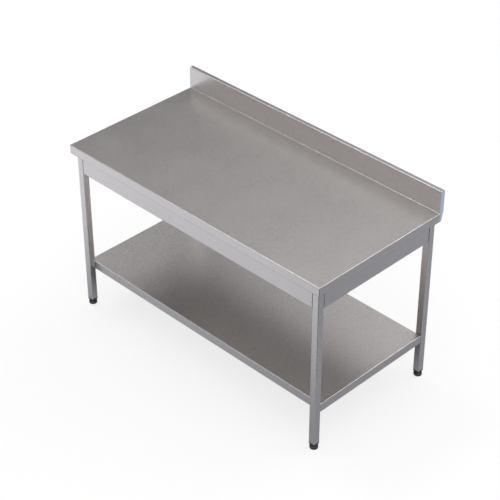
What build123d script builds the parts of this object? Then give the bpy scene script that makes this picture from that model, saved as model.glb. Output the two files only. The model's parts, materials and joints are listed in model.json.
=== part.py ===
from build123d import *
import os

# Stainless work table with a rear upstand, a lower shelf and four screw-adjusted feet.
# Millimetres. Origin on the floor, under the middle of the overall length and depth.
# +X runs along the worktop to the right, +Y to the rear upstand, +Z up.

# ---- overall sizes
length = 1400.0
depth = 700.0                 # front edge to the back of the upstand
worktop_height = 810.0
upstand_height = 100.0        # above the worktop
upstand_thickness = 20.0
skirt_height = 40.0

# ---- sheet metal
sheet = 1.2
bend_radius = 2.5             # outside radius of a folded edge
end_radius = 2.0              # outside radius of the welded and ground ends
foot_bend_radius = 1.5        # where the worktop turns up into the upstand
lip = 15.0                    # return lip under the front and side skirts
rear_lip = 8.0
rear_taper = 10.0             # the upstand's back leans in this much below the worktop
mitre_gap = 0.6
mitre_length = 1.2            # times the lip's width
mitre_shift = 1.0             # towards the corner

# ---- upstand end caps
cap_plate = 3.0
cap_plug = 8.0
cap_plug_wall = 1.5
cap_plug_radius = 2.0
cap_plug_short = 20.0         # the plug is this much shorter than the upstand
cap_edge_radius = 0.5
cap_clearance = 0.25

# ---- board under the worktop sheet
board_thickness = 18.0
board_gap = 3.0               # board edge to the outside of the skirt
board_rear_gap = 5.0          # board edge to the front of the upstand
board_corner = 4.0

# ---- legs
leg_size = 30.0
leg_wall = 1.2
leg_corner = 2.0
leg_inset = 20.0
leg_bottom = 30.0

# ---- aprons between the legs
apron_bottom = 682.0
apron_recess = 1.0            # apron face behind the leg's outer face
joint_gap = 1.2               # a rivet nut's flange holds folded parts this far off a leg
flange_width = 20.0
tab_width = 22.0
corner_relief = 4.0

# ---- shelf
shelf_height = 220.0
shelf_skirt = 40.0
shelf_side_inset = 1.0        # shelf end behind the legs' outer side faces
shelf_lip = 12.0
stiffener_length = 1300.0
stiffener_crown = 50.0
stiffener_flange = 18.0
stiffener_depth = 25.0
bracket_arm = 32.0
bracket_wall = 2.0
bracket_clearance = 1.5       # above the lip and under the shelf

# ---- fasteners
bolt_radius = 2.95            # M6
bolt_length = 12.0
bolt_hex = 10.0
bolt_head = 4.5
bolt_flange_radius = 6.0
bolt_flange = 1.0
bolt_chamfer = 0.5
bolt_hole_radius = 3.3
rivet_radius = 4.5
rivet_flange_radius = 6.2
rivet_length = 10.0
rivet_bore_radius = 3.0
bolt_drops = (20.0, 78.0)     # bolt axes below the top of the apron
screw_radius = 2.0
screw_length = 13.0
screw_head_radius = 4.2
screw_head = 2.4
screw_head_fillet = 1.2
screw_slot_length = 4.4       # cross recess in the head
screw_slot_width = 1.0
screw_slot_depth = 1.3
screw_hole_radius = 2.3
screw_from_face = 12.0        # screw axis behind the apron's face
screws_along_x = (-0.42, -0.14, 0.14, 0.42)     # fractions of the length
screws_along_y = (-0.25, 0.25)                  # fractions of the depth
pilot_extra = 0.5             # pilot hole beyond the screw's tip

# ---- adjustable feet
insert_flange = 15.5          # height of the part that shows under the tube
insert_band = 6.0             # its straight upper band, above the taper
insert_neck = 21.5            # width across the bottom of the taper
insert_neck_corner = 1.0
insert_depth = 35.0
insert_core = 25.0
insert_rib = 27.4
rib_thickness = 1.6
rib_corner = 1.0
rib_count = 4
rib_start = 0.6               # first rib, in rib steps above the flange
stud_radius = 4.95            # M10
stud_top = 67.0
stud_clearance = 0.35
stud_chamfer = 1.0
nut_bore_radius = 5.0
nut_hex = 17.0
nut_height = 8.0
nut_bottom = 33.0
nut_pocket_gap = 0.05
head_height = 4.6
head_bottom = 8.6
foot_radius = 17.7
foot_edge_radius = 4.5
running_gap = 0.3
sole_top = 5.7
sole_edge_radius = 3.0
spigot_radius = 12.0
spigot_snap = 0.4
spigot_height = 2.0

# ---- fits and cuts
mould_gap = 0.02              # between a moulding and the metal inside it
cut_past = 1.0                # how far a cut reaches past the face it starts from

# ---- derived places
half_length = length / 2
half_depth = depth / 2
upstand_front = half_depth - upstand_thickness
skirt_bottom = worktop_height - skirt_height
worktop_under = worktop_height - sheet
board_bottom = worktop_under - board_thickness
leg_out_x = half_length - leg_inset
leg_out_y = half_depth - leg_inset
leg_x = leg_out_x - leg_size / 2
leg_y = leg_out_y - leg_size / 2
apron_height = board_bottom - apron_bottom
clear_x = leg_out_x - leg_size - joint_gap      # half the length between the legs
clear_y = leg_out_y - leg_size - joint_gap
shelf_bottom = shelf_height - shelf_skirt
shelf_x = leg_out_x - shelf_side_inset
shelf_bolt_height = shelf_height - shelf_skirt / 2
insert_bottom = leg_bottom - insert_flange
foot_bottom = sole_top + running_gap
foot_top = insert_bottom - running_gap

corners = {
    "front_left": (-1, -1),
    "front_right": (1, -1),
    "rear_left": (-1, 1),
    "rear_right": (1, 1),
}


def save(piece, name):
    """Label a finished piece and write its STEP file."""
    piece.label = name
    export_step(piece, f"parts/{name}.step")


def upstand_end_outline():
    """Corners of the end of the upstand and of the skirt below it, as (y, z)."""
    return [
        (upstand_front, skirt_bottom),
        (upstand_front, worktop_height + upstand_height),
        (half_depth, worktop_height + upstand_height),
        (half_depth, worktop_height),
        (half_depth - rear_taper, skirt_bottom),
    ]


# ---------------------------------------------------------------- worktop
def make_worktop_sheet():
    """One folded sheet: top, skirts with return lips, and the hollow upstand."""
    outline = [
        (-half_depth, skirt_bottom),
        (-half_depth, worktop_height),
        (upstand_front, worktop_height),
        (upstand_front, worktop_height + upstand_height),
        (half_depth, worktop_height + upstand_height),
        (half_depth, worktop_height),
        (half_depth - rear_taper, skirt_bottom),
    ]
    with BuildPart() as top:
        with BuildSketch(Plane.YZ) as profile:
            with BuildLine():
                Polyline(*outline, close=True)
            make_face()
            foot = profile.vertices().sort_by_distance((upstand_front, worktop_height))[0]
            fillet(foot, foot_bend_radius)
            folds = [profile.vertices().sort_by_distance(point)[0] for point in outline
                     if point != (upstand_front, worktop_height)]
            fillet(folds, bend_radius)
        extrude(amount=half_length, both=True)
        ends = top.faces().filter_by(Axis.X)
        fillet(ends.edges(), end_radius)
        offset(amount=-sheet, mode=Mode.SUBTRACT)
        # the underside is open inside the return lips
        opening_front = -half_depth + lip
        opening_rear = half_depth - rear_taper - rear_lip
        with BuildSketch(Plane.XY.offset(skirt_bottom - cut_past)):
            with Locations((0, (opening_front + opening_rear) / 2)):
                Rectangle(length - 2 * lip, opening_rear - opening_front)
        extrude(amount=sheet + 2 * cut_past, mode=Mode.SUBTRACT)
        # the front lips meet in open mitres
        mitre_in = lip / 2 + mitre_shift
        with BuildSketch(Plane.XY.offset(skirt_bottom - cut_past)):
            for side in (-1, 1):
                with Locations((side * (half_length - mitre_in), mitre_in - half_depth)):
                    Rectangle(lip * mitre_length, mitre_gap, rotation=side * -45)
        extrude(amount=sheet + cut_past, mode=Mode.SUBTRACT)
        # the ends of the upstand are left open for the caps
        for side in (-1, 1):
            with BuildSketch(Plane.YZ.offset(side * (half_length - cap_plate / 2))):
                with Locations((half_depth, worktop_height + upstand_height / 2)):
                    Rectangle(2 * upstand_thickness, 2 * upstand_height + 2 * skirt_height)
            extrude(amount=cap_plate / 2, both=True, mode=Mode.SUBTRACT)
    return top.part


def make_end_cap(side):
    """Moulded cap: a plate over the open end of the upstand and a plug inside it."""
    with BuildPart() as cap:
        with BuildSketch(Plane.YZ.offset(side * (half_length - cap_plate))) as plate:
            with BuildLine():
                Polyline(*upstand_end_outline(), close=True)
            make_face()
            fillet(plate.vertices().group_by(Axis.Y)[-1], bend_radius)
        extrude(amount=side * cap_plate)
        outer = cap.faces().sort_by(Axis.X)[-1 if side > 0 else 0]
        fillet(outer.edges(), cap_edge_radius)
        inner_top = worktop_height + upstand_height - sheet - cap_clearance
        inner_front = upstand_front + sheet + cap_clearance
        inner_rear = half_depth - sheet - cap_clearance
        with BuildSketch(Plane.YZ.offset(side * (half_length - cap_plate))) as plug:
            with Locations(((inner_front + inner_rear) / 2, inner_top - upstand_height / 2)):
                Rectangle(inner_rear - inner_front, upstand_height - cap_plug_short)
            fillet(plug.vertices(), cap_plug_radius)
            offset(amount=-cap_plug_wall, mode=Mode.SUBTRACT)
        extrude(amount=-side * cap_plug)
    return cap.part


def screw_spots():
    """Places of the screws that go up through the apron flanges into the board."""
    screw_x = leg_out_x - screw_from_face
    screw_y = leg_out_y - screw_from_face
    along_x = [(part * length, side * screw_y) for part in screws_along_x for side in (-1, 1)]
    along_y = [(side * screw_x, part * depth) for side in (-1, 1) for part in screws_along_y]
    return along_x + along_y


def make_board():
    """Laminated board bonded under the worktop sheet, with pilot holes from below."""
    front = -half_depth + board_gap
    rear = upstand_front - board_rear_gap
    with BuildPart() as board:
        with BuildSketch(Plane.XY.offset(board_bottom)) as outline:
            with Locations((0, (front + rear) / 2)):
                Rectangle(length - 2 * board_gap, rear - front)
            fillet(outline.vertices(), board_corner)
        extrude(amount=board_thickness)
        with BuildSketch(Plane.XY.offset(board_bottom)):
            with Locations(*screw_spots()):
                Circle(screw_radius)
        extrude(amount=screw_length - sheet + pilot_extra, mode=Mode.SUBTRACT)
    return board.part


# ---------------------------------------------------------------- frame
def bolt_places():
    """Frame bolts, as planes on a leg's face whose z axis points out of the leg."""
    places = []
    for sx, sy in corners.values():
        for drop in bolt_drops:
            height = board_bottom - drop
            inner_x = sx * (leg_out_x - leg_size)
            inner_y = sy * (leg_out_y - leg_size)
            places.append(Plane((inner_x, sy * leg_y, height), x_dir=(0, 0, 1), z_dir=(-sx, 0, 0)))
            places.append(Plane((sx * leg_x, inner_y, height), x_dir=(0, 0, 1), z_dir=(0, -sy, 0)))
    return places


def shelf_bolt_places():
    """Shelf bolts, one through each end of the front and rear skirts."""
    places = []
    for sx, sy in corners.values():
        inner_y = sy * (leg_out_y - leg_size)
        origin = (sx * leg_x, inner_y, shelf_bolt_height)
        places.append(Plane(origin, x_dir=(0, 0, 1), z_dir=(0, -sy, 0)))
    return places


def make_apron(span, face, across):
    """Folded apron: a web with top and bottom flanges and an end tab at each leg.

    span is its length between the gaps at the legs. face is where its outer face lies, and
    across says whether it runs along Y (a side apron) instead of X.
    """
    sign = 1 if face > 0 else -1
    if across:
        base = Plane((face, 0, apron_bottom), x_dir=(0, sign, 0), z_dir=(0, 0, 1))
    else:
        base = Plane((0, face, apron_bottom), x_dir=(-sign, 0, 0), z_dir=(0, 0, 1))
    with BuildPart() as apron:
        # seen from above, the web is along local x and the flanges reach to local +y
        with BuildSketch(base):
            with Locations((0, tab_width / 2)):
                Rectangle(span, tab_width)
        extrude(amount=apron_height)
        inward = base.y_dir
        front_face = apron.faces().sort_by(Axis(base.origin, inward))[0]
        fillet(front_face.edges(), bend_radius)
        back = apron.faces().sort_by(Axis(base.origin, inward))[-1]
        offset(amount=-sheet, openings=back)
        # reliefs part the flanges from the end tabs
        relief_place = Plane(base.origin + inward * (bend_radius + sheet), x_dir=base.x_dir, z_dir=inward)
        with BuildSketch(relief_place):
            for x in (-span / 2, span / 2):
                for z in (0, apron_height):
                    with Locations((x, -z)):
                        Rectangle(2 * corner_relief, 2 * corner_relief)
        extrude(amount=tab_width, mode=Mode.SUBTRACT)
        # the flanges are narrower than the tabs
        trim = Plane(base.origin + inward * flange_width, x_dir=base.x_dir, z_dir=inward)
        with BuildSketch(trim):
            with Locations((0, -apron_height / 2)):
                Rectangle(span - 4 * corner_relief, apron_height + 2 * cut_past)
        extrude(amount=tab_width, mode=Mode.SUBTRACT)
        for place in bolt_places():
            with BuildSketch(place):
                Circle(bolt_hole_radius)
            extrude(amount=joint_gap + 2 * sheet, mode=Mode.SUBTRACT)
        with BuildSketch(Plane.XY.offset(board_bottom - 2 * sheet)):
            with Locations(*screw_spots()):
                Circle(screw_hole_radius)
        extrude(amount=2 * sheet + cut_past, mode=Mode.SUBTRACT)
    return apron.part


def make_leg(sx, sy):
    """Square tube leg with the holes that hold its rivet nuts."""
    with BuildPart() as leg:
        with BuildSketch(Plane.XY.offset(leg_bottom)):
            with Locations((sx * leg_x, sy * leg_y)):
                RectangleRounded(leg_size, leg_size, leg_corner)
                inner = leg_size - 2 * leg_wall
                RectangleRounded(inner, inner, leg_corner - leg_wall, mode=Mode.SUBTRACT)
        extrude(amount=board_bottom - leg_bottom)
        for place in bolt_places() + shelf_bolt_places():
            with BuildSketch(place.offset(cut_past)):
                Circle(rivet_radius)
            extrude(amount=-(leg_wall + 2 * cut_past), mode=Mode.SUBTRACT)
    return leg.part


def make_rivet_nut(place):
    """Threaded rivet nut: a flange on the leg's face and a barrel inside the tube."""
    with BuildPart() as nut:
        with BuildSketch(place):
            Circle(rivet_flange_radius)
        extrude(amount=joint_gap)
        with BuildSketch(place):
            Circle(rivet_radius)
        extrude(amount=-rivet_length)
        with BuildSketch(place.offset(joint_gap)):
            Circle(rivet_bore_radius)
        extrude(amount=-(rivet_length + joint_gap), mode=Mode.SUBTRACT)
    return nut.part


def make_bolt(place, grip):
    """Hexagon flange bolt whose flange bears on parts of the given thickness."""
    seat = place.offset(joint_gap + grip)
    with BuildPart() as bolt:
        with BuildSketch(seat):
            Circle(bolt_flange_radius)
        extrude(amount=bolt_flange)
        with BuildSketch(seat.offset(bolt_flange)):
            RegularPolygon(bolt_hex / 2, 6, major_radius=False)
        extrude(amount=bolt_head)
        crown = bolt.faces().sort_by(Axis(seat.origin, seat.z_dir))[-1]
        chamfer(crown.edges(), bolt_chamfer)
        with BuildSketch(seat):
            Circle(bolt_radius)
        extrude(amount=-bolt_length)
    return bolt.part


def make_screw(spot):
    """Pan head screw, driven up through an apron's flange into the board."""
    seat = Plane((spot[0], spot[1], board_bottom - sheet))
    with BuildPart() as screw:
        with BuildSketch(seat):
            Circle(screw_head_radius)
        extrude(amount=-screw_head)
        fillet(screw.faces().sort_by(Axis.Z)[0].edges(), screw_head_fillet)
        with BuildSketch(seat.offset(-screw_head)):
            Rectangle(screw_slot_length, screw_slot_width)
            Rectangle(screw_slot_width, screw_slot_length)
        extrude(amount=screw_slot_depth, mode=Mode.SUBTRACT)
        with BuildSketch(seat):
            Circle(screw_radius - mould_gap)
        extrude(amount=screw_length)
    return screw.part


# ---------------------------------------------------------------- shelf
def make_shelf():
    """Folded shelf with a skirt and return lips on all four sides."""
    with BuildPart() as shelf:
        with BuildSketch(Plane.XY.offset(shelf_bottom)):
            Rectangle(2 * shelf_x, 2 * clear_y)
        extrude(amount=shelf_skirt)
        fillet(shelf.edges(), bend_radius)
        offset(amount=-sheet, mode=Mode.SUBTRACT)
        mitre_in = shelf_lip / 2 + mitre_shift
        with BuildSketch(Plane.XY.offset(shelf_bottom - cut_past)):
            Rectangle(2 * (shelf_x - shelf_lip), 2 * (clear_y - shelf_lip))
            for sx, sy in corners.values():
                with Locations((sx * (shelf_x - mitre_in), sy * (clear_y - mitre_in))):
                    Rectangle(shelf_lip * mitre_length, mitre_gap, rotation=45 * sx * sy)
        extrude(amount=sheet + cut_past, mode=Mode.SUBTRACT)
        for place in shelf_bolt_places():
            with BuildSketch(place):
                Circle(bolt_hole_radius)
            extrude(amount=joint_gap + 2 * sheet, mode=Mode.SUBTRACT)
    return shelf.part


def make_stiffener():
    """Hat channel bonded along the middle of the shelf's underside."""
    top = shelf_height - sheet
    half_crown = stiffener_crown / 2
    with BuildPart() as hat:
        with BuildSketch(Plane.YZ) as profile:
            with BuildLine() as fold:
                Polyline(
                    (-half_crown - stiffener_flange, top),
                    (-half_crown, top),
                    (-half_crown, top - stiffener_depth),
                    (half_crown, top - stiffener_depth),
                    (half_crown, top),
                    (half_crown + stiffener_flange, top),
                )
                offset(amount=sheet, side=Side.RIGHT, kind=Kind.INTERSECTION)
            make_face()
        extrude(amount=stiffener_length / 2, both=True)
        long_edges = hat.edges().filter_by(Axis.X)
        outside = [edge for edge in long_edges if edge.center().Z < top - stiffener_depth + sheet / 2]
        fillet(outside, bend_radius)
    return hat.part


def make_shelf_bracket(sx, sy):
    """Angle inside a shelf corner that spreads the load of the shelf bolt."""
    corner_x = sx * (shelf_x - sheet)
    corner_y = sy * (clear_y - sheet)
    low = shelf_bottom + sheet + bracket_clearance
    high = shelf_height - sheet - bracket_clearance
    with BuildPart() as bracket:
        with BuildSketch(Plane.XY.offset(low)) as angle:
            with Locations((corner_x - sx * bracket_arm / 2, corner_y - sy * bracket_wall / 2)):
                Rectangle(bracket_arm, bracket_wall)
            with Locations((corner_x - sx * bracket_wall / 2, corner_y - sy * bracket_arm / 2)):
                Rectangle(bracket_wall, bracket_arm)
            heel = angle.vertices().sort_by_distance((corner_x, corner_y))[0]
            fillet(heel, bend_radius)
        extrude(amount=high - low)
        for place in shelf_bolt_places():
            with BuildSketch(place):
                Circle(bolt_hole_radius)
            extrude(amount=joint_gap + sheet + bracket_wall + cut_past, mode=Mode.SUBTRACT)
    return bracket.part


# ---------------------------------------------------------------- feet
def make_insert(sx, sy):
    """Plastic plug in a leg's end, with a flange under the tube and a pocket for a nut."""
    centre = (sx * leg_x, sy * leg_y)
    with BuildPart() as insert:
        with BuildSketch(Plane.XY.offset(insert_bottom)):
            with Locations(centre):
                RectangleRounded(insert_neck, insert_neck, insert_neck_corner)
        with BuildSketch(Plane.XY.offset(leg_bottom - insert_band)):
            with Locations(centre):
                RectangleRounded(leg_size, leg_size, leg_corner)
        loft()
        with BuildSketch(Plane.XY.offset(leg_bottom - insert_band)):
            with Locations(centre):
                RectangleRounded(leg_size, leg_size, leg_corner)
        extrude(amount=insert_band)
        with BuildSketch(Plane.XY.offset(leg_bottom)):
            with Locations(centre):
                Rectangle(insert_core, insert_core)
        extrude(amount=insert_depth)
        rib_step = insert_depth / (rib_count + 0.5)
        for rib in range(rib_count):
            with BuildSketch(Plane.XY.offset(leg_bottom + rib_step * (rib + rib_start))):
                with Locations(centre):
                    RectangleRounded(insert_rib, insert_rib, rib_corner)
            extrude(amount=rib_thickness)
        with BuildSketch(Plane.XY.offset(insert_bottom)):
            with Locations(centre):
                Circle(stud_radius + stud_clearance)
        extrude(amount=insert_flange + insert_depth, mode=Mode.SUBTRACT)
        with BuildSketch(Plane.XY.offset(nut_bottom)):
            with Locations(centre):
                RegularPolygon(nut_hex / 2 + nut_pocket_gap, 6, major_radius=False)
        extrude(amount=insert_depth, mode=Mode.SUBTRACT)
    return insert.part


def make_foot_nut(sx, sy):
    """Hexagon nut held in the insert."""
    centre = (sx * leg_x, sy * leg_y)
    with BuildPart() as nut:
        with BuildSketch(Plane.XY.offset(nut_bottom)):
            with Locations(centre):
                RegularPolygon(nut_hex / 2, 6, major_radius=False)
                Circle(nut_bore_radius, mode=Mode.SUBTRACT)
        extrude(amount=nut_height)
    return nut.part


def make_foot_stud(sx, sy):
    """Screw whose hexagon head is moulded into the foot."""
    centre = (sx * leg_x, sy * leg_y)
    with BuildPart() as stud:
        with BuildSketch(Plane.XY.offset(head_bottom)):
            with Locations(centre):
                RegularPolygon(nut_hex / 2, 6, major_radius=False)
        extrude(amount=head_height)
        with BuildSketch(Plane.XY.offset(head_bottom + head_height)):
            with Locations(centre):
                Circle(stud_radius)
        extrude(amount=stud_top - head_bottom - head_height)
        chamfer(stud.faces().sort_by(Axis.Z)[-1].edges(), stud_chamfer)
    return stud.part


def make_foot(sx, sy):
    """Round moulded foot that is turned by hand, with the screw's head inside it."""
    centre = (sx * leg_x, sy * leg_y)
    axis_plane = Plane((centre[0], centre[1], 0), x_dir=(1, 0, 0), z_dir=(0, -1, 0))
    socket = spigot_radius + running_gap
    socket_top = foot_bottom + spigot_height
    with BuildPart() as foot:
        with BuildSketch(axis_plane) as half:
            with BuildLine():
                Polyline(
                    (0, socket_top),
                    (socket + spigot_snap, socket_top),
                    (socket, foot_bottom),
                    (foot_radius, foot_bottom),
                    (foot_radius, foot_top),
                    (0, foot_top),
                    close=True,
                )
            make_face()
            rim = half.vertices().sort_by_distance((foot_radius, foot_top))[0]
            fillet(rim, foot_edge_radius)
        revolve(axis=Axis((centre[0], centre[1], 0), (0, 0, 1)))
        with BuildSketch(Plane.XY.offset(head_bottom - mould_gap)):
            with Locations(centre):
                RegularPolygon(nut_hex / 2 + mould_gap, 6, major_radius=False)
        extrude(amount=head_height + 2 * mould_gap, mode=Mode.SUBTRACT)
        with BuildSketch(Plane.XY.offset(head_bottom)):
            with Locations(centre):
                Circle(stud_radius + mould_gap)
        extrude(amount=foot_top - head_bottom + cut_past, mode=Mode.SUBTRACT)
    return foot.part


def make_sole(sx, sy):
    """Sole that stands still on the floor while the foot turns on its spigot."""
    centre = (sx * leg_x, sy * leg_y)
    axis_plane = Plane((centre[0], centre[1], 0), x_dir=(1, 0, 0), z_dir=(0, -1, 0))
    with BuildPart() as sole:
        with BuildSketch(axis_plane) as half:
            with BuildLine():
                Polyline(
                    (0, 0),
                    (foot_radius, 0),
                    (foot_radius, sole_top),
                    (spigot_radius, sole_top),
                    (spigot_radius + spigot_snap, sole_top + spigot_height),
                    (0, sole_top + spigot_height),
                    close=True,
                )
            make_face()
            edge = half.vertices().sort_by_distance((foot_radius, 0))[0]
            fillet(edge, sole_edge_radius)
        revolve(axis=Axis((centre[0], centre[1], 0), (0, 0, 1)))
    return sole.part


# ---------------------------------------------------------------- assembly
os.makedirs("parts", exist_ok=True)

save(make_worktop_sheet(), "worktop_sheet")
save(make_board(), "worktop_board")
save(make_end_cap(-1), "upstand_cap_left")
save(make_end_cap(1), "upstand_cap_right")

apron_face_x = leg_out_x - apron_recess
apron_face_y = leg_out_y - apron_recess
save(make_apron(2 * clear_x, -apron_face_y, across=False), "apron_front")
save(make_apron(2 * clear_x, apron_face_y, across=False), "apron_rear")
save(make_apron(2 * clear_y, -apron_face_x, across=True), "apron_left")
save(make_apron(2 * clear_y, apron_face_x, across=True), "apron_right")

save(make_shelf(), "shelf_sheet")
save(make_stiffener(), "shelf_stiffener")

for corner_name, (sx, sy) in corners.items():
    save(make_leg(sx, sy), f"leg_{corner_name}")
    save(make_shelf_bracket(sx, sy), f"shelf_bracket_{corner_name}")
    save(make_insert(sx, sy), f"foot_insert_{corner_name}")
    save(make_foot_nut(sx, sy), f"foot_nut_{corner_name}")
    save(make_foot_stud(sx, sy), f"foot_screw_{corner_name}")
    save(make_foot(sx, sy), f"foot_{corner_name}")
    save(make_sole(sx, sy), f"foot_sole_{corner_name}")

save(Compound(children=[make_bolt(place, sheet) for place in bolt_places()]), "frame_bolts")
save(Compound(children=[make_rivet_nut(place) for place in bolt_places()]), "frame_rivet_nuts")
shelf_grip = sheet + bracket_wall
save(Compound(children=[make_bolt(place, shelf_grip) for place in shelf_bolt_places()]), "shelf_bolts")
save(Compound(children=[make_rivet_nut(place) for place in shelf_bolt_places()]), "shelf_rivet_nuts")
save(Compound(children=[make_screw(spot) for spot in screw_spots()]), "board_screws")
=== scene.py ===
import json
import math

import bmesh
import bpy
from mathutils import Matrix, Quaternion, Vector

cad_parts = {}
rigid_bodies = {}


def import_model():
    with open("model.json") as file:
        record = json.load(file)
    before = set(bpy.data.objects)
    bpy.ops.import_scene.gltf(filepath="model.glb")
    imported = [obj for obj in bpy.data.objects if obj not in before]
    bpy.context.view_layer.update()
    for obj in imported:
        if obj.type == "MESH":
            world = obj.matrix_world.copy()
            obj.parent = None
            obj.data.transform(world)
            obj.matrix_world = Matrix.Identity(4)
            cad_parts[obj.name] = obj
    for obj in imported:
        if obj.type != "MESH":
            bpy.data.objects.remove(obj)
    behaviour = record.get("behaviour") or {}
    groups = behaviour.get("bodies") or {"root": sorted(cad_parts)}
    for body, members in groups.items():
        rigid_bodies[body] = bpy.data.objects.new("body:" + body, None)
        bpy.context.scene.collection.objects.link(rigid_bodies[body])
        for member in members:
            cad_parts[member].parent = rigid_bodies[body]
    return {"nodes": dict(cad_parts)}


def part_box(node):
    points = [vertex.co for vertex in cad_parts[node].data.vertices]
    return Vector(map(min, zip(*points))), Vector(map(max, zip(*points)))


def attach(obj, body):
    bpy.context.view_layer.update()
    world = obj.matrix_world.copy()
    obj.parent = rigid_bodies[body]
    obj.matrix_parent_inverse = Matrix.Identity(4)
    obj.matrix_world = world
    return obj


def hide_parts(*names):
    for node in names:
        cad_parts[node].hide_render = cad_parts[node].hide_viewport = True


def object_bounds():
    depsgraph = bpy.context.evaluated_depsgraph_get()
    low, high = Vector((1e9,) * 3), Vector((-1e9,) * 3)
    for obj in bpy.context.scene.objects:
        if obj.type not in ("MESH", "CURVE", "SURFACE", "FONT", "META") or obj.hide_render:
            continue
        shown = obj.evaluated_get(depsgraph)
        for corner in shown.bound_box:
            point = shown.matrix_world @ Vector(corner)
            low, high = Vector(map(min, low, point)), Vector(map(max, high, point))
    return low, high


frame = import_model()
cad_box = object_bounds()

scene = bpy.context.scene
scene.view_settings.view_transform = "Standard"

# ---------------------------------------------------------------- camera
CAMERA_AZIMUTH = 45.03
CAMERA_ELEVATION = 35.27
CAMERA_ROLL = -0.04
CAMERA_DISTANCE = 6.505
CAMERA_TARGET = Vector((-0.0692, 0.0664, 0.3877))
CAMERA_LENS = 111.9
CAMERA_SENSOR = 36.0
CAMERA_SEES_TO = 100.0


def make_camera():
    azimuth = math.radians(CAMERA_AZIMUTH)
    elevation = math.radians(CAMERA_ELEVATION)
    back = Vector((math.sin(azimuth) * math.cos(elevation),
                   -math.cos(azimuth) * math.cos(elevation),
                   math.sin(elevation)))
    data = bpy.data.cameras.new("camera")
    data.lens = CAMERA_LENS
    data.sensor_width = CAMERA_SENSOR
    data.clip_end = CAMERA_SEES_TO
    camera = bpy.data.objects.new("camera", data)
    camera.location = CAMERA_TARGET + back * CAMERA_DISTANCE
    roll = Quaternion(back, math.radians(CAMERA_ROLL))
    camera.rotation_euler = (roll @ (-back).to_track_quat("-Z", "Y")).to_euler()
    scene.collection.objects.link(camera)
    scene.camera = camera


make_camera()

# ---------------------------------------------------------------- node helpers
NOISE_ROUGHNESS = 0.55
NOISE_LOW = 0.3                 # most of a noise lies between these two
NOISE_HIGH = 0.7


class Nodes:
    """Adds and links shader nodes by short calls."""

    def __init__(self, tree):
        self.tree = tree
        tree.nodes.clear()

    def put(self, node, name, value):
        """Links a socket's output to an input, or sets the input to a constant."""
        socket = node.inputs[name]
        if isinstance(value, bpy.types.NodeSocket):
            self.tree.links.new(value, socket)
        else:
            socket.default_value = value

    def add(self, kind, **inputs):
        node = self.tree.nodes.new(kind)
        for name, value in inputs.items():
            self.put(node, name.replace("_", " "), value)
        return node

    def add_operation(self, kind, operation, values):
        node = self.tree.nodes.new(kind)
        node.operation = operation
        for i, value in enumerate(values):
            self.put(node, i, value)
        return node

    def math(self, operation, *values):
        return self.add_operation("ShaderNodeMath", operation, values).outputs[0]

    def vector(self, operation, *values):
        return self.add_operation("ShaderNodeVectorMath", operation, values).outputs[0]

    def dot(self, first, second):
        return self.add_operation("ShaderNodeVectorMath", "DOT_PRODUCT", (first, second)).outputs["Value"]

    def scale(self, vector, factor):
        node = self.add_operation("ShaderNodeVectorMath", "SCALE", (vector,))
        self.put(node, "Scale", factor)
        return node.outputs[0]

    def mix(self, factor, first, second):
        """A vector between first and second."""
        rest = self.math("SUBTRACT", 1.0, factor)
        return self.vector("ADD", self.scale(first, rest), self.scale(second, factor))

    def parts(self, vector):
        return self.add("ShaderNodeSeparateXYZ", Vector=vector).outputs

    def product(self, *values):
        total = values[0]
        for value in values[1:]:
            total = self.math("MULTIPLY", total, value)
        return total

    def noise(self, place, scale, detail):
        node = self.add("ShaderNodeTexNoise", Vector=place, Scale=scale, Detail=detail,
                        Roughness=NOISE_ROUGHNESS)
        return node.outputs["Fac"]

    def bump(self, height, depth):
        """A bumped normal, where height runs from 0 to 1 over depth in metres."""
        return self.add("ShaderNodeBump", Height=height, Distance=depth, Strength=1.0).outputs[0]

    def bump_on(self, normal, height, depth):
        """The same on top of a normal that is bumped already."""
        node = self.add("ShaderNodeBump", Height=height, Distance=depth, Strength=1.0, Normal=normal)
        return node.outputs[0]

    def ramp(self, value, low, high, to_low, to_high, smooth=True):
        node = self.tree.nodes.new("ShaderNodeMapRange")
        node.interpolation_type = "SMOOTHSTEP" if smooth else "LINEAR"
        for name, number in (("Value", value), ("From Min", low), ("From Max", high),
                             ("To Min", to_low), ("To Max", to_high)):
            self.put(node, name, number)
        return node.outputs[0]

    def line(self, factor, at_0, at_1):
        """A value that goes straight from at_0 to at_1 as the factor goes from 0 to 1."""
        return self.ramp(factor, 0.0, 1.0, at_0, at_1, smooth=False)

    def around(self, noise, middle, swing):
        """A value about middle that follows a noise of mean one half, by up to about swing."""
        return self.ramp(noise, NOISE_LOW, NOISE_HIGH, middle - swing, middle + swing, smooth=False)


def new_material(name, shader_kind="ShaderNodeBsdfPrincipled"):
    """A material whose surface is one shader, and the helper that adds its nodes."""
    material = bpy.data.materials.new(name)
    material.use_nodes = True
    n = Nodes(material.node_tree)
    shader = n.add(shader_kind)
    n.add("ShaderNodeOutputMaterial", Surface=shader.outputs[0])
    return material, n, shader


def set_shader(n, shader, **inputs):
    for name, value in inputs.items():
        n.put(shader, name.replace("_", " "), value)


# ---------------------------------------------------------------- studio
WHITE = (1.0, 1.0, 1.0, 1.0)
SKY_TOP = (1.16, 1.145, 1.135)
SKY_DARK_BELOW = 0.48           # upward part of a direction at which the overhead light has faded out
SKY_FULL_ABOVE = 0.86
SOFTBOXES = (
    # direction, tightness, colour
    ((-1.0, -1.0, 0.9), 6.0, (0.36, 0.34, 0.33)),
    ((1.0, -1.0, 0.8), 4.0, (1.10, 1.08, 1.08)),
    ((0.1, 1.0, 0.55), 12.0, (2.33, 2.22, 2.28)),
    # two narrow lights, for the bends along the front and along the right side
    ((-0.45, 0.0, 0.89), 150.0, (12.0, 12.0, 12.0)),
    ((1.0, 1.3, 1.0), 300.0, (11.0, 11.0, 11.0)),
)

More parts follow.
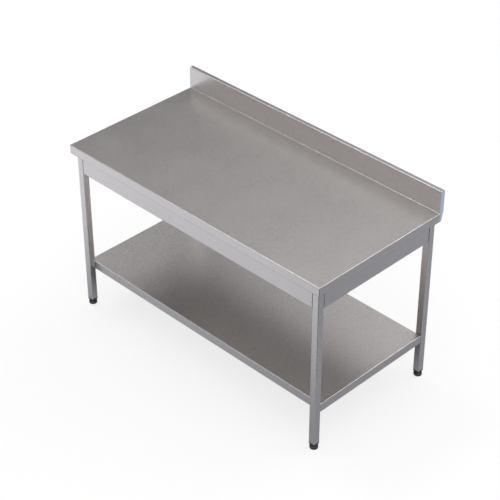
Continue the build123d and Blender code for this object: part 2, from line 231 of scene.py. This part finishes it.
FLOOR_SIZE = 60.0
FLOOR_COLOUR = (0.19, 0.19, 0.19, 1.0)
FLOOR_GLOW = 0.775              # the floor's own light, which keeps the shadows faint
BACKDROP_RADIUS = 28.0
BACKDROP_BRIGHTNESS = 1.0


def make_world():
    """An overhead light that fades towards the horizon, and soft lights about fixed directions."""
    world = bpy.data.worlds.new("studio")
    scene.world = world
    world.use_nodes = True
    n = Nodes(world.node_tree)
    direction = n.vector("NORMALIZE", n.add("ShaderNodeTexCoord").outputs["Generated"])
    overhead = n.ramp(n.parts(direction)["Z"], SKY_DARK_BELOW, SKY_FULL_ABOVE, 0.0, 1.0)
    total = n.scale(SKY_TOP, overhead)
    for place, tightness, colour in SOFTBOXES:
        near = n.dot(direction, Vector(place).normalized())
        lobe = n.math("EXPONENT", n.math("MULTIPLY", n.math("SUBTRACT", near, 1.0), tightness))
        total = n.vector("ADD", total, n.scale(colour, lobe))
    background = n.add("ShaderNodeBackground", Color=total, Strength=1.0)
    n.add("ShaderNodeOutputWorld", Surface=background.outputs[0])


def make_plane(name, height):
    bpy.ops.mesh.primitive_plane_add(size=FLOOR_SIZE, location=(0, 0, height))
    plane = bpy.context.object
    plane.name = name
    return plane


def hide_from_light(piece):
    """Leaves the studio's light as it is."""
    piece.visible_diffuse = False
    piece.visible_shadow = False
    piece.visible_transmission = False


def make_floor():
    """The pale floor as the camera sees it. The metal sees a glowing card with painted light and shade
    instead.
    """
    floor = make_plane("floor", 0.0)
    material, n, shader = new_material("floor")
    set_shader(n, shader, Base_Color=FLOOR_COLOUR, Roughness=1.0, Specular_IOR_Level=0.0,
               Emission_Color=WHITE, Emission_Strength=FLOOR_GLOW)
    floor.data.materials.append(material)
    floor.visible_glossy = False


def make_backdrop():
    """A pale dome, which only low views show."""
    bpy.ops.mesh.primitive_uv_sphere_add(segments=64, ring_count=32, radius=BACKDROP_RADIUS)
    dome = bpy.context.object
    dome.name = "backdrop"
    hide_from_light(dome)
    dome.visible_glossy = False
    material, n, shader = new_material("backdrop", "ShaderNodeEmission")
    set_shader(n, shader, Color=WHITE, Strength=BACKDROP_BRIGHTNESS)
    dome.data.materials.append(material)


make_world()
make_floor()
make_backdrop()

# ---------------------------------------------------------------- floor that the metal reflects, a glowing card with painted light and shadow
REFLECTION_HEIGHT = -0.002
# painted light on the lit front left and painted shade on the shaded rear right, near the table and far
# from it
LIT_NEAR = (0.36, 0.374, 0.393)
LIT_FAR = (0.994, 0.989, 1.045)
SHADE_NEAR = (0.351, 0.356, 0.39)
SHADE_FAR = (0.447, 0.453, 0.499)
# painted shadow under the table
PAINTED_SHADOW_UNDER_TABLE = (0.04, 0.04, 0.045)
NEAR_TO_FAR = (-0.3, 1.1)       # distance from the table's outline
LIT_TO_SHADE = (-1.2, 0.5)      # x + y
FRONT_RIGHT = (1.25, 2.0)       # x - y, over which the painted shade darkens the floor past the front right corner
FRONT_RIGHT_SHADE = 0.15        # of its brightness
UNDER_TO_OUTSIDE = (-0.25, 0.02)    # distance past the table's outline


def make_floor_reflection():
    """What the metal sees below it: a glowing card painted with the table's shadow under it and with light
    far off on the front left.
    """
    high = cad_box[1]
    card = make_plane("floor_reflection", REFLECTION_HEIGHT)
    card.visible_camera = False
    hide_from_light(card)
    material, n, shader = new_material("floor_reflection", "ShaderNodeEmission")
    part = n.parts(n.add("ShaderNodeNewGeometry").outputs["Position"])
    beyond_x = n.math("SUBTRACT", n.math("ABSOLUTE", part["X"]), high[0])
    beyond_y = n.math("SUBTRACT", n.math("ABSOLUTE", part["Y"]), high[1])
    out_x = n.math("MAXIMUM", beyond_x, 0.0)
    out_y = n.math("MAXIMUM", beyond_y, 0.0)
    squares = n.math("ADD", n.math("MULTIPLY", out_x, out_x), n.math("MULTIPLY", out_y, out_y))
    far = n.ramp(n.math("SQRT", squares), *NEAR_TO_FAR, 0.0, 1.0)
    lit = n.ramp(n.math("ADD", part["X"], part["Y"]), *LIT_TO_SHADE, 1.0, 0.0)
    outside = n.mix(lit, n.mix(far, SHADE_NEAR, SHADE_FAR), n.mix(far, LIT_NEAR, LIT_FAR))
    # painted shade past the front right corner, and the table's painted shadow over its own outline
    front = n.ramp(n.math("SUBTRACT", part["X"], part["Y"]), *FRONT_RIGHT, 1.0, FRONT_RIGHT_SHADE)
    under = n.ramp(n.math("MAXIMUM", beyond_x, beyond_y), *UNDER_TO_OUTSIDE, 1.0, 0.0)
    colour = n.mix(under, n.scale(outside, front), PAINTED_SHADOW_UNDER_TABLE)
    set_shader(n, shader, Color=colour, Strength=1.0)
    card.data.materials.append(material)


make_floor_reflection()


# ---------------------------------------------------------------- folds
FOLD_FULL = 0.985               # largest axis part of a normal on a full fold
FOLD_NONE = 0.9995              # the same where a flat face begins
DOWN_FULL = -0.10               # upward part of a normal that counts as facing down
DOWN_NONE = -0.02


def local_place(n):
    """Place and normal in the object's own frame, which moves with its body."""
    outputs = n.add("ShaderNodeTexCoord").outputs
    return outputs["Object"], outputs["Normal"]


def folded(n, normal):
    """1 on folded edges and 0 on flat faces square to an axis. The sloping rear skirt counts as a fold."""
    part = n.parts(n.vector("ABSOLUTE", normal))
    largest = n.math("MAXIMUM", n.math("MAXIMUM", part["X"], part["Y"]), part["Z"])
    return n.ramp(largest, FOLD_FULL, FOLD_NONE, 1.0, 0.0)


def facing_down(n, normal):
    return n.ramp(n.parts(normal)["Z"], DOWN_FULL, DOWN_NONE, 1.0, 0.0)


# ---------------------------------------------------------------- stainless sheet
STEEL_COLOUR = (0.62, 0.605, 0.595)
BRUSH_PER_METRE = 2600.0        # brushed lines across the grain
BRUSH_STRETCH = 0.012           # the same along the grain, as a fraction
BRUSH_TONE = 0.035
BRUSH_ROUGHNESS = 0.03
BRUSH_HEIGHT = 0.000012
MOTTLE_PER_METRE = 620.0
MOTTLE_TONE = 0.15
MOTTLE_ROUGHNESS = 0.08
MOTTLE_HEIGHT = 0.00008
CLOUD_PER_METRE = 7.0
CLOUD_ROUGHNESS = 0.012
STEEL_ROUGHNESS = 0.33
FOLD_TONE = 1.05
FOLD_POLISH = 0.05
LOWER_FOLD_PAINTED_SHADE = 0.25          # painted shade: the dark line of a fold's underside, and all of the sloping rear skirt
SCRATCH_TONE = 0.93
SCRATCH_FROM = 0.74             # noise at which a mark begins
SCRATCH_FULL = 0.80
SCRATCH_RUNS = (
    # turn about z, noise per metre along each axis
    (0.35, (6.0, 700.0, 60.0)),
    (-0.9, (700.0, 9.0, 60.0)),
)


def scratches(n, place):
    """Thin random marks in two directions, 1 on a mark and 0 off it."""
    marks = []
    for turn, per_metre in SCRATCH_RUNS:
        rotated = n.add("ShaderNodeVectorRotate", Vector=place, Angle=turn).outputs[0]
        wave = n.noise(n.vector("MULTIPLY", rotated, per_metre), 1.0, 1.0)
        marks.append(n.ramp(wave, SCRATCH_FROM, SCRATCH_FULL, 0.0, 1.0))
    return n.math("MAXIMUM", *marks)


def stainless(name, stretch):
    """Satin stainless sheet, brushed along one axis, with mottle, faint scratches, worn bends and painted
    shade on the downward faces of its folds.
    """
    material, n, shader = new_material(name)
    place, normal = local_place(n)
    brushed = n.noise(n.vector("MULTIPLY", place, stretch), BRUSH_PER_METRE, 2.0)
    mottle = n.noise(place, MOTTLE_PER_METRE, 1.0)
    cloud = n.noise(place, CLOUD_PER_METRE, 3.0)
    fold = folded(n, normal)
    # painted shade on folds that face down, standing in for the shadow under a skirt's fold
    painted_shade_on_lower_fold = n.math("MULTIPLY", fold, facing_down(n, normal))
    tone = n.product(n.around(mottle, 1.0, MOTTLE_TONE), n.around(brushed, 1.0, BRUSH_TONE),
                     n.line(fold, 1.0, FOLD_TONE),
                     n.line(painted_shade_on_lower_fold, 1.0, LOWER_FOLD_PAINTED_SHADE),
                     n.line(scratches(n, place), 1.0, SCRATCH_TONE))
    rough = n.math("ADD", n.around(mottle, STEEL_ROUGHNESS, MOTTLE_ROUGHNESS),
                   n.around(brushed, 0.0, BRUSH_ROUGHNESS))
    rough = n.math("ADD", rough, n.around(cloud, 0.0, CLOUD_ROUGHNESS))
    rough = n.math("SUBTRACT", rough, n.math("MULTIPLY", fold, FOLD_POLISH))
    relief = n.bump_on(n.bump(brushed, BRUSH_HEIGHT), mottle, MOTTLE_HEIGHT)
    set_shader(n, shader, Base_Color=n.scale(STEEL_COLOUR, tone), Metallic=1.0, Roughness=rough,
               Normal=relief)
    return material


# ---------------------------------------------------------------- zinc plate
ZINC_BLUE = (0.62, 0.65, 0.71)
ZINC_YELLOW = (0.70, 0.68, 0.60)
ZINC_DRIFT_PER_METRE = 90.0
ZINC_DRIFT_RANGE = (0.35, 0.65)
ZINC_GRAIN_PER_METRE = 1800.0
ZINC_GRAIN_TONE = 0.08
ZINC_GRAIN_HEIGHT = 0.00001
ZINC_ROUGHNESS = 0.34
ZINC_ROUGHNESS_SWING = 0.07


def zinc(name):
    """Bright zinc plate with the faint blue and yellow drift of its passivation."""
    material, n, shader = new_material(name)
    place = local_place(n)[0]
    grain = n.noise(place, ZINC_GRAIN_PER_METRE, 3.0)
    drift = n.ramp(n.noise(place, ZINC_DRIFT_PER_METRE, 2.0), *ZINC_DRIFT_RANGE, 0.0, 1.0)
    colour = n.scale(n.mix(drift, ZINC_BLUE, ZINC_YELLOW), n.around(grain, 1.0, ZINC_GRAIN_TONE))
    set_shader(n, shader, Base_Color=colour, Metallic=1.0,
               Roughness=n.around(grain, ZINC_ROUGHNESS, ZINC_ROUGHNESS_SWING),
               Normal=n.bump(grain, ZINC_GRAIN_HEIGHT))
    return material


# ---------------------------------------------------------------- plastics
TEXTURE_PER_METRE = 2400.0
TEXTURE_TONE = 0.08
UNEVEN_PER_METRE = 160.0
UNEVEN_TONE = 0.10
UNEVEN_ROUGHNESS = 0.06
SCUFF_PER_METRE = 700.0
SCUFF_RANGE = (0.5, 0.68)
SCUFF_ROUGHNESS = 0.2
SCUFF_KEEPS = 0.7               # of the colour
SCUFF_ADDS = 0.12               # of white


def plastic(name, colour, roughness, texture_height, scuff):
    """Moulded plastic: a fine texture, uneven gloss, and lighter scuffs on its edges."""
    material, n, shader = new_material(name)
    place, normal = local_place(n)
    texture = n.noise(place, TEXTURE_PER_METRE, 3.0)
    uneven = n.noise(place, UNEVEN_PER_METRE, 3.0)
    rubbed = n.ramp(n.noise(place, SCUFF_PER_METRE, 4.0), *SCUFF_RANGE, 0.0, 1.0)
    worn = n.product(folded(n, normal), rubbed, scuff)
    tone = n.product(n.around(texture, 1.0, TEXTURE_TONE), n.around(uneven, 1.0, UNEVEN_TONE))
    scuffed = tuple(SCUFF_KEEPS * channel + SCUFF_ADDS for channel in colour)
    rough = n.math("ADD", n.around(uneven, roughness, UNEVEN_ROUGHNESS),
                   n.math("MULTIPLY", worn, SCUFF_ROUGHNESS))
    set_shader(n, shader, Base_Color=n.mix(worn, n.scale(colour, tone), scuffed), Roughness=rough,
               Normal=n.bump(texture, texture_height))
    return material


# ---------------------------------------------------------------- board under the worktop
MELAMINE_COLOUR = (0.40, 0.39, 0.375)
MELAMINE_ROUGHNESS = 0.45
FLECK_PER_METRE = 900.0
FLECK_TONE = 0.05
FLECK_RELIEF = 0.1
STAIN_PER_METRE = 12.0
STAIN_TONE = 0.03
CHIP_DARK = (0.42, 0.29, 0.17)
CHIP_LIGHT = (0.62, 0.48, 0.32)
CHIPS_PER_METRE = (350.0, 350.0, 900.0)
CHIP_ROUGHNESS = 0.85
BOARD_RELIEF = 0.0001
FACE_TO_EDGE = (0.4, 0.6)       # upright part of a normal


def laminated_board(name):
    """Pale grey melamine faces and bare chipboard edges."""
    material, n, shader = new_material(name)
    place, normal = local_place(n)
    edge = n.ramp(n.parts(n.vector("ABSOLUTE", normal))["Z"], *FACE_TO_EDGE, 1.0, 0.0)
    fleck = n.noise(place, FLECK_PER_METRE, 3.0)
    stain = n.noise(place, STAIN_PER_METRE, 3.0)
    tone = n.product(n.around(fleck, 1.0, FLECK_TONE), n.around(stain, 1.0, STAIN_TONE))
    chips = n.add("ShaderNodeTexVoronoi", Vector=n.vector("MULTIPLY", place, CHIPS_PER_METRE), Scale=1.0)
    chip = n.mix(n.parts(chips.outputs["Color"])["X"], CHIP_DARK, CHIP_LIGHT)
    relief = n.math("ADD", n.math("MULTIPLY", chips.outputs["Distance"], edge),
                    n.math("MULTIPLY", fleck, FLECK_RELIEF))
    set_shader(n, shader, Base_Color=n.mix(edge, n.scale(MELAMINE_COLOUR, tone), chip),
               Roughness=n.ramp(edge, 0.0, 1.0, MELAMINE_ROUGHNESS, CHIP_ROUGHNESS),
               Normal=n.bump(relief, BOARD_RELIEF))
    return material


# ---------------------------------------------------------------- which piece has which material
def assign(material, *starts):
    for obj in scene.objects:
        if obj.type == "MESH" and obj.name in frame["nodes"] and obj.name.startswith(starts):
            for slot in obj.material_slots:
                slot.material = material


grain_x = stainless("stainless_along_x", (BRUSH_STRETCH, 1.0, 1.0))
grain_y = stainless("stainless_along_y", (1.0, BRUSH_STRETCH, 1.0))
grain_z = stainless("stainless_along_z", (1.0, 1.0, BRUSH_STRETCH))
plated = zinc("zinc_plate")
matt_black = plastic("matt_black_plastic", (0.035, 0.035, 0.037), 0.48, 0.00002, 0.5)
gloss_black = plastic("gloss_black_plastic", (0.028, 0.028, 0.030), 0.15, 0.000003, 0.5)
lavender = plastic("lavender_plastic", (0.38, 0.425, 0.57), 0.42, 0.000012, 0.25)
board = laminated_board("melamine_board")

assign(grain_x, "worktop_sheet", "apron_front", "apron_rear", "shelf_sheet", "shelf_stiffener")
assign(grain_y, "apron_left", "apron_right")
assign(grain_z, "leg_", "shelf_bracket_")
assign(plated, "frame_", "shelf_bolts", "shelf_rivet_nuts", "board_screws", "foot_nut_")
assign(matt_black, "foot_insert_", "foot_sole_")
assign(gloss_black, "foot_front_", "foot_rear_")
assign(lavender, "upstand_cap_")
assign(board, "worktop_board")

# ---------------------------------------------------------------- threaded studs of the feet
CORNERS = ("front_left", "front_right", "rear_left", "rear_right")
STUD_RADIUS = 0.00495
THREAD_PITCH = 0.0015
THREAD_DEPTH = 0.6134 * THREAD_PITCH
THREAD_CREST = 0.125            # as a fraction of the pitch
THREAD_ROOT = 0.25
THREAD_FLANK = (1.0 - THREAD_CREST - THREAD_ROOT) / 2.0
ROWS_PER_PITCH = 8
POINTS_AROUND = 28
HEAD_ACROSS_FLATS = 0.017
HEAD_HEIGHT = 0.0046
HEAD_CHAMFER = 0.0007
TIP_CHAMFER = 0.0012


def thread_radius(phase):
    """Radius of a metric thread at a phase from 0 to 1 along its pitch: a crest, two flanks and a root."""
    past_crest = abs(phase - 0.5) - THREAD_CREST / 2.0
    down = min(max(past_crest / THREAD_FLANK, 0.0), 1.0)
    return STUD_RADIUS - THREAD_DEPTH * down


def ring(mesh, centre, height, radii):
    count = len(radii)
    verts = []
    for i, radius in enumerate(radii):
        angle = 2.0 * math.pi * i / count
        verts.append(mesh.verts.new((centre[0] + radius * math.cos(angle),
                                     centre[1] + radius * math.sin(angle), height)))
    return verts


def skin(mesh, rings):
    """Joins rings of the same count into a closed tube with flat ends."""
    mesh.faces.new(list(reversed(rings[0])))
    for lower, upper in zip(rings, rings[1:]):
        for i in range(len(lower)):
            k = (i + 1) % len(lower)
            mesh.faces.new((lower[i], lower[k], upper[k], upper[i]))
    mesh.faces.new(rings[-1])


def add_head(mesh, centre, bottom, top):
    """The hexagon head, moulded into the foot, chamfered at both ends."""
    hexagon = [HEAD_ACROSS_FLATS / 2.0 / math.cos(math.pi / 6.0)] * 6
    small = [radius - HEAD_CHAMFER for radius in hexagon]
    skin(mesh, [ring(mesh, centre, bottom, small),
                ring(mesh, centre, bottom + HEAD_CHAMFER / 2.0, hexagon),
                ring(mesh, centre, top - HEAD_CHAMFER / 2.0, hexagon),
                ring(mesh, centre, top, small)])


def add_thread(mesh, centre, bottom, top):
    """A helical thread with a chamfered tip."""
    rows = int(round((top - bottom) / (THREAD_PITCH / ROWS_PER_PITCH)))
    rings = []
    for row in range(rows + 1):
        height = bottom + (top - bottom) * row / rows
        limit = STUD_RADIUS - max(TIP_CHAMFER - (top - height), 0.0)
        radii = []
        for i in range(POINTS_AROUND):
            phase = (height / THREAD_PITCH - i / POINTS_AROUND) % 1.0
            radii.append(min(thread_radius(phase), limit))
        rings.append(ring(mesh, centre, height, radii))
    skin(mesh, rings)


def make_stud(corner):
    """A foot's screw with a real helical thread, in place of its plain solid."""
    name = f"foot_screw_{corner}"
    low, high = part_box(name)
    centre = ((low[0] + high[0]) / 2.0, (low[1] + high[1]) / 2.0)
    mesh = bmesh.new()
    add_head(mesh, centre, low[2], low[2] + HEAD_HEIGHT)
    add_thread(mesh, centre, low[2] + HEAD_HEIGHT, high[2])
    data = bpy.data.meshes.new(f"thread_{corner}")
    mesh.to_mesh(data)
    mesh.free()
    data.materials.append(plated)
    stud = bpy.data.objects.new(f"threaded_stud_{corner}", data)
    scene.collection.objects.link(stud)
    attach(stud, f"{corner}_foot")
    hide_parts(name)


for corner in CORNERS:
    make_stud(corner)
